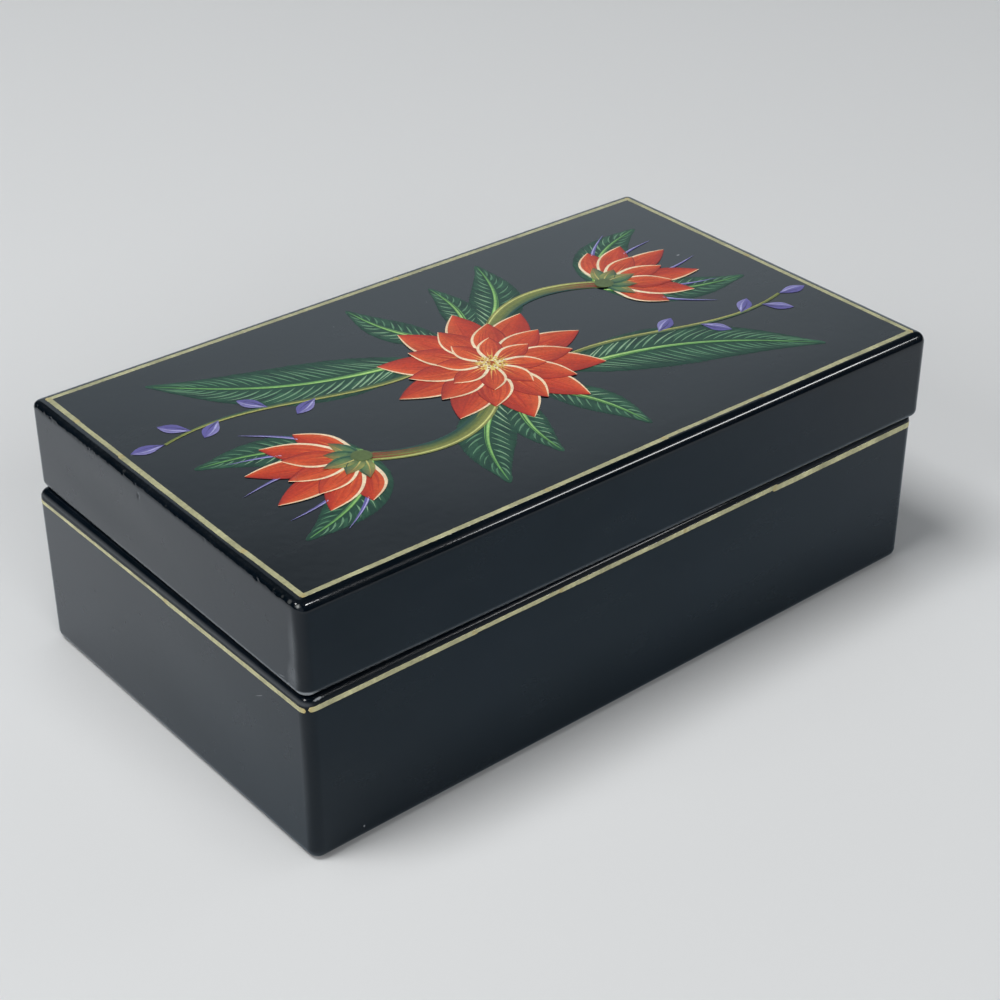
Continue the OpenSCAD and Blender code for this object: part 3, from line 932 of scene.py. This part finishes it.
def fill(b, blade, coat, shade, steps=36, lanes=8):
    """Flat filled blade with thin edges. shade gives the colour at t and across."""
    across = [BLADE_CROWN * (2 * k / lanes - 1) for k in range(lanes + 1)]
    places = [(v, (coat + BLADE_COATS + blade.tilt * v) * PAINT_STEP) for v in across]
    low = (coat - abs(blade.tilt)) * PAINT_STEP
    places = [(-1, low)] + places + [(1, low)]
    rings = []
    for i in range(1, steps):
        t = i / steps
        rings.append([b.point((*blade.point(t, v), z), shade(t, v)) for v, z in places])
    ends = [b.point((*blade.point(t, 0), low), shade(t, 0)) for t in (0, 1)]
    b.tube(rings)
    for end, ring in zip(ends, (list(reversed(rings[0])), rings[-1])):
        for i in range(len(ring)):
            b.faces.append((ring[i], ring[i - 1], end))


def disc(b, centre, radius, coat, colour, steps):
    """Flat dot of paint with a bevelled edge."""
    rings = []
    for share, level in ((1.0, coat), (DOT_CROWN, coat + DOT_COATS)):
        ring = []
        for i in range(steps):
            at = centre + turned(360 * i / steps) * radius * share
            ring.append(b.point((*at, level * PAINT_STEP), colour))
        rings.append(ring)
    low, top = rings
    b.strip(low, top)
    b.faces += [tuple(top), tuple(reversed(low))]


def both(place, turn):
    """A place and a turn for the drawn half and for the half turned about the lid's middle."""
    return ((place, turn), ((-place[0], -place[1]), turn + 180))


def leaf_shade(t, across):
    """A leaf's ground, darker towards its edges and its tip."""
    return mix(LEAF, LEAF_DARK, min(1.0, 0.55 * abs(across) + 0.35 * t))


def paint_leaf(b, ribs, blade, rng):
    """A leaf: ground, slanting streaks on both sides, veins, and a rib in three strokes."""
    fill(b, blade, 0, leaf_shade)
    count = int(blade.length / LEAF_STREAK_STEP)
    for side in (1, -1):
        for k in range(count):
            start = 0.03 + 0.9 * k / count
            reach = rng.uniform(0.62, 0.74)
            points = [blade.point(min(start + 0.10 * j / 8, 0.998), side * (0.33 + reach * j / 8))
                      for j in range(9)]
            if rng.random() < 0.55:
                tone = mix(LEAF, LEAF_MID, rng.random() * (0.75 if side > 0 else 0.4))
            else:
                tone = mix(LEAF, LEAF_DARK, rng.random())
            stroke(b, points, tapered(rng.uniform(0.7, 1.2), 8, 0.2, 0.5), 0.3, tone,
                   mix(tone, LEAF_DARK, 0.4))
    paint_veins(ribs, blade, rng)
    steps = 30
    left = [1 - i / steps for i in range(steps + 1)]
    rib = [(1.5 * v ** 0.8 + 0.14) * min(1.0, 0.2 + 0.3 * i) for i, v in enumerate(left)]
    stroke(ribs, blade.line(0, 0.97, 0, steps), rib, 1.2, RIB, mix(RIB, LEAF_MID, 0.55))
    stroke(ribs, blade.line(0.02, 0.9, 0.035, steps), [0.5 * v + 0.08 for v in left], 1.5,
           RIB_LIGHT, mix(RIB, LEAF_MID, 0.3))
    stroke(ribs, blade.line(0.02, 0.8, -0.05, steps), [0.35 * v + 0.06 for v in left], 1.5,
           mix(RIB, LEAF_DARK, 0.5), LEAF_DARK)


def paint_veins(ribs, blade, rng):
    """Side veins: one bright short row and one softer row."""
    count = max(6, int(blade.length / VEIN_STEP))
    for side, light in ((1, 1.0), (-1, 0.6)):
        for k in range(count):
            start = 0.07 + 0.82 * (k + 0.25 * rng.random()) / count
            reach = rng.uniform(0.56, 0.72)
            points = []
            for j in range(11):
                u = j / 10
                along = start + u * (0.095 - 0.03 * start) + 0.03 * u * u
                points.append(blade.point(min(along, 0.99), side * (0.14 + reach * u)))
            bright = light * (1.05 - 0.75 * start) * rng.uniform(0.75, 1.0)
            stroke(ribs, points, tapered(rng.uniform(0.4, 0.62), 10, 0.35, 0.75), 0.9,
                   mix(LEAF_MID, VEIN, 0.55 * bright), mix(LEAF_MID, VEIN, min(1, bright)))


def petal_shade(edge, red):
    """Colours of a petal that is light on one edge, dark on the other and dark at its foot."""
    def shade(t, across):
        lit = across * edge
        tone = mix(red, CORAL, lit * 0.7) if lit > 0 else mix(red, RED_DARK, -lit * 0.65)
        return mix(tone, RED_DARK, 0.45 * (1 - t) ** 2)
    return shade


def paint_petal(b, blade, coat, edge, red, rng):
    """A petal: graded ground, streaks along it, a cream edge and yellow strokes at its foot."""
    shade = petal_shade(edge, red)
    blade.tilt = PETAL_TILT * edge
    fill(b, blade, coat, shade, steps=26, lanes=6)
    for k in range(PETAL_STREAKS):
        v = (-0.86 + 1.72 * k / (PETAL_STREAKS - 1)) + 0.05 * (rng.random() - 0.5)
        start, end = rng.uniform(0.06, 0.3), rng.uniform(0.7, 0.97)
        tone = mix(shade(0.55, v), CORAL if rng.random() < 0.5 else RED_DARK, 0.4 * rng.random())
        stroke(b, blade.line(start, end, v, 12), tapered(blade.breadth / 13, 12, 0.1, 0.4),
               coat + 0.25 + blade.tilt * v, tone, mix(tone, RED, 0.3))
    width = rng.uniform(0.7, 0.95)
    rim = [width * (1 - i / 24) ** 0.6 + 0.13 for i in range(25)]
    stroke(b, blade.line(0.08, 0.997, edge * 0.95, 24), rim, coat + 0.5 + PETAL_TILT, CREAM,
           mix(CREAM, CORAL, 0.25))
    shadow = blade.line(0.3, 0.99, -edge * 0.97, 18)
    stroke(b, shadow, [0.2] * len(shadow), coat + 0.2 - PETAL_TILT, RED_DARK)
    for v, reach in ((-0.5, 0.42), (-0.12, 0.6), (0.3, 0.5)):
        reach *= rng.uniform(0.85, 1.1)
        stroke(b, blade.line(0.06, 0.06 + reach, v, 12), tapered(0.5, 12, 0.15, 0.9),
               coat + 0.6 + blade.tilt * v, YELLOW, mix(red, CORAL, 0.7))


def paint_stem(b, control, breadths, maroon, rng):
    """A stem with a light and a dark side and fine streaks along it. Its end may be maroon."""
    steps = STEM_STEPS
    points = [curve_point(control, i / steps) * SPRAY_L for i in range(steps + 1)]
    first, last = breadths
    widths = [SPRAY_L * (first + (last - first) * i / steps) for i in range(steps + 1)]
    stroke(b, points, widths, STEM_COAT, OLIVE)
    sides = [sideways(points, i) * width for i, width in enumerate(widths)]
    fine = max(5, int(widths[0] / 0.3))
    for k in range(fine):
        offset = -0.44 + 0.88 * k / (fine - 1)
        if offset < 0:
            ground = mix(STEM_DARK, OLIVE, min(1, (offset + 0.5) * 2))
        else:
            ground = mix(OLIVE, OLIVE_LIGHT, offset * 2)
        start, end = rng.randint(0, 12), steps - rng.randint(0, 10)
        tone = mix(ground, rng.choice((STEM_DARK, OLIVE_LIGHT)), 0.3 * rng.random())
        line = [points[i] + sides[i] * offset for i in range(start, end + 1)]
        widest = widths[0] / fine * 1.5
        stroke(b, line, tapered(widest, len(line) - 1, 0.1, 0.3), STEM_COAT + 0.3, tone)
    for offset, tone, share in ((0.34, STEM_LIGHT, 0.09), (-0.43, STEM_DARK, 0.14)):
        line = [p + s * offset for p, s in zip(points, sides)]
        edge = [w * share for w in tapered(widths[0], steps, 0.05, 0.3)]
        stroke(b, line, edge, STEM_COAT + 0.6, tone)
    if maroon:
        for offset in (-0.3, -0.1, 0.15):
            line = [points[i] + sides[i] * offset for i in range(steps - 16, steps + 1)]
            stroke(b, line, tapered(0.55, 16, 0.8, 0.0), STEM_COAT + 0.7,
                   mix(OLIVE, MAROON, 0.4), MAROON)


def bud_shade(t, across):
    """A bud's ground, lighter towards one edge."""
    return mix(VIOLET, VIOLET_LIGHT, max(0.0, 0.55 * across))


def paint_bud(b, at, turn):
    """A violet bud with a light and a dark stroke."""
    bud = Blade(at, turn, *BUD_SIZE)
    fill(b, bud, VIOLET_COAT, bud_shade, steps=16, lanes=6)
    above = VIOLET_COAT + 0.4
    stroke(b, bud.line(0.12, 0.9, 0.35, 10), tapered(0.42, 10, 0.2, 0.7), above, VIOLET_LIGHT)
    stroke(b, bud.line(0.1, 0.8, -0.3, 10), tapered(0.3, 10, 0.2, 0.7), above,
           mix(VIOLET, LACQUER, 0.4))


def paint_tongue(b, at, turn, bow):
    """A long violet tongue with a light stroke."""
    blade = Blade(at, turn, TONGUE_LENGTH, TONGUE_BREADTH, bow, 1.0)
    stroke(b, blade.line(0, 1, 0, 24), tapered(1.5, 24, 0.3, 0.7), VIOLET_COAT, VIOLET)
    stroke(b, blade.line(0.1, 0.98, 0.25, 24), tapered(0.5, 24, 0.3, 0.7), VIOLET_COAT + 0.4,
           VIOLET_LIGHT)


def paint_sepal(b, sepal, coat):
    """A green sepal with a maroon tip, a light stroke and a dark one."""
    def shade(t, across):
        green = mix(LEAF_MID, OLIVE_LIGHT, 0.5 + 0.5 * across)
        return mix(mix(STEM_DARK, green, min(1.0, 2.5 * t)), MAROON, max(0.0, t - 0.55))

    fill(b, sepal, coat, shade, steps=18, lanes=6)
    above = coat + 0.45
    stroke(b, sepal.line(0.1, 0.95, 0.35, 10), tapered(0.34, 10, 0.1, 0.7), above, STEM_LIGHT,
           mix(OLIVE, CORAL, 0.4))
    stroke(b, sepal.line(0.1, 0.95, -0.7, 10), tapered(0.3, 10, 0.1, 0.7), above, STEM_DARK)


def paint_side_flower(at, turn, petals, inner, stems, violet, rng):
    """A side flower, from its tongues up to the cup that covers the feet of its sepals."""
    low, middle, high = PETAL_COATS
    for step in TONGUE_TURNS:
        paint_tongue(violet, at, turn + step, TONGUE_BOW if step > 0 else -TONGUE_BOW)
    for step, length, breadth in SIDE_PETALS:
        edge = 1 if step > 0 else -1
        paint_petal(petals, Blade(at, turn + step, length, breadth), low, edge, RED, rng)
    orange = mix(RED, CORAL, 0.3)
    for step, length, breadth in SIDE_INNER:
        paint_petal(inner, Blade(at, turn + step, length, breadth), middle, 1, orange, rng)
    for k, (step, length, breadth) in enumerate(SIDE_SEPALS):
        sepal = Blade(at, turn + step, length, breadth, 0, 0.9)
        paint_sepal(stems, sepal, high + 0.5 * k)
    green = mix(OLIVE, STEM_DARK, 0.3)
    disc(stems, Vector(at) * SPRAY_L, CUP_R * SPRAY_L * 0.8, CUP_COAT, green, 24)


def paint_heart(b, rng):
    """Seeds of the middle flower, in a spiral of dots."""
    for k in range(SEEDS):
        from_middle = HEART_R * SPRAY_L * 0.95 * math.sqrt(k / SEEDS)
        tone = mix(YELLOW, OCHRE, rng.random() * 0.8) if k % 3 else mix(OCHRE, MAROON, 0.5)
        radius = rng.uniform(0.26, 0.4)
        disc(b, turned(GOLDEN_TURN * k) * from_middle, radius, SEED_COAT + 0.1 * (k % 4), tone, 8)


def paint_spray():
    """The whole spray, in one piece for each of its nodes."""
    rng = random.Random(SPRAY_SEED)
    builders = [Builder() for _ in SPRAY_PIECES]
    leaves, ribs, stems, violet, petals, inner, hearts = builders
    for place, turn, length, breadth, bow in LEAVES:
        for at, way in both(place, turn):
            paint_leaf(leaves, ribs, Blade(at, way, length, breadth, bow, LEAF_BELLY), rng)
    for sign in (1, -1):
        tendril = [(x * sign, y * sign) for x, y in TENDRIL]
        paint_stem(stems, tendril, TENDRIL_BREADTHS, False, rng)
        paint_stem(stems, [(x * sign, y * sign) for x, y in STEM], STEM_BREADTHS, True, rng)
        for t, turn in BUDS:
            paint_bud(violet, curve_point(tendril, t), turn if sign > 0 else turn + 180)
    for at, turn in both(SIDE_AT, SIDE_TURN):
        paint_side_flower(at, turn, petals, inner, stems, violet, rng)
    for ring, (count, length, breadth, start) in enumerate(RINGS):
        builder = inner if ring else petals
        red = mix(RED, CORAL, 0.2 * ring)
        for k in range(count):
            blade = Blade((0, 0), start + 360 * k / count, length, breadth)
            paint_petal(builder, blade, PETAL_COATS[ring], 1, red, rng)
    paint_heart(hearts, rng)
    paint = paint_material("spray_paint", 0.42, 0.3)
    for b, (node, slot) in zip(builders, SPRAY_PIECES):
        b.piece(node + "_brushed", paint, "lid", node, slot, LID)


# The felt on the floor

FELT_CELL = 1.2
FELT_RIPPLE = 0.12
FELT_WAVE = 9
FELT_RIM_DROP = 0.3


def make_lining(material):
    """The felt: a grid over its upper side, pressed down at the rim, and a flat underside."""
    low, high = node_box("floor_lining")
    b = Builder()
    nx = round((high.x - low.x) / FELT_CELL)
    ny = round((high.y - low.y) / FELT_CELL)
    rows = []
    for j in range(ny + 1):
        row = []
        for i in range(nx + 1):
            x = low.x + (high.x - low.x) * i / nx
            y = low.y + (high.y - low.y) * j / ny
            rim = 1.0 if i in (0, nx) or j in (0, ny) else 0.0
            swell = 0.5 + 0.5 * noise.noise((x / FELT_WAVE, y / FELT_WAVE, 3))
            drop = FELT_RIPPLE * swell + FELT_RIM_DROP * rim
            row.append(b.point((x, y, high.z - drop)))
        rows.append(row)
    for r, s in zip(rows, rows[1:]):
        for i in range(nx):
            b.faces.append((r[i], r[i + 1], s[i + 1], s[i]))
    rim = rows[0] + [r[-1] for r in rows[1:]] + rows[-1][-2::-1] + [r[0] for r in rows[-2:0:-1]]
    under = [b.point((b.points[k][0], b.points[k][1], low.z)) for k in rim]
    b.strip(under, rim)
    b.faces.append(tuple(reversed(under)))
    felt = b.piece("floor_lining_felt", material, "base", "floor_lining", "felt", smooth=True)


# Everything together

make_camera()
make_lights()
make_world()
make_floor()

lacquer = lacquer_material("black_lacquer", wear_and_sheen=True)
inside = lacquer_material("inside_lacquer", haze=0.24, coat=0.7)
for name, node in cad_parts.items():
    node.data.materials.clear()
    node.data.materials.append(inside if name.startswith("lip_") else lacquer)
make_top_panel(lacquer)
gold = paint_material("gold_paint", 0.36, 0.25)
make_lid_line(gold)
make_base_line(gold)
paint_spray()
make_lining(felt_material())

bpy.context.scene.view_settings.view_transform = "Standard"
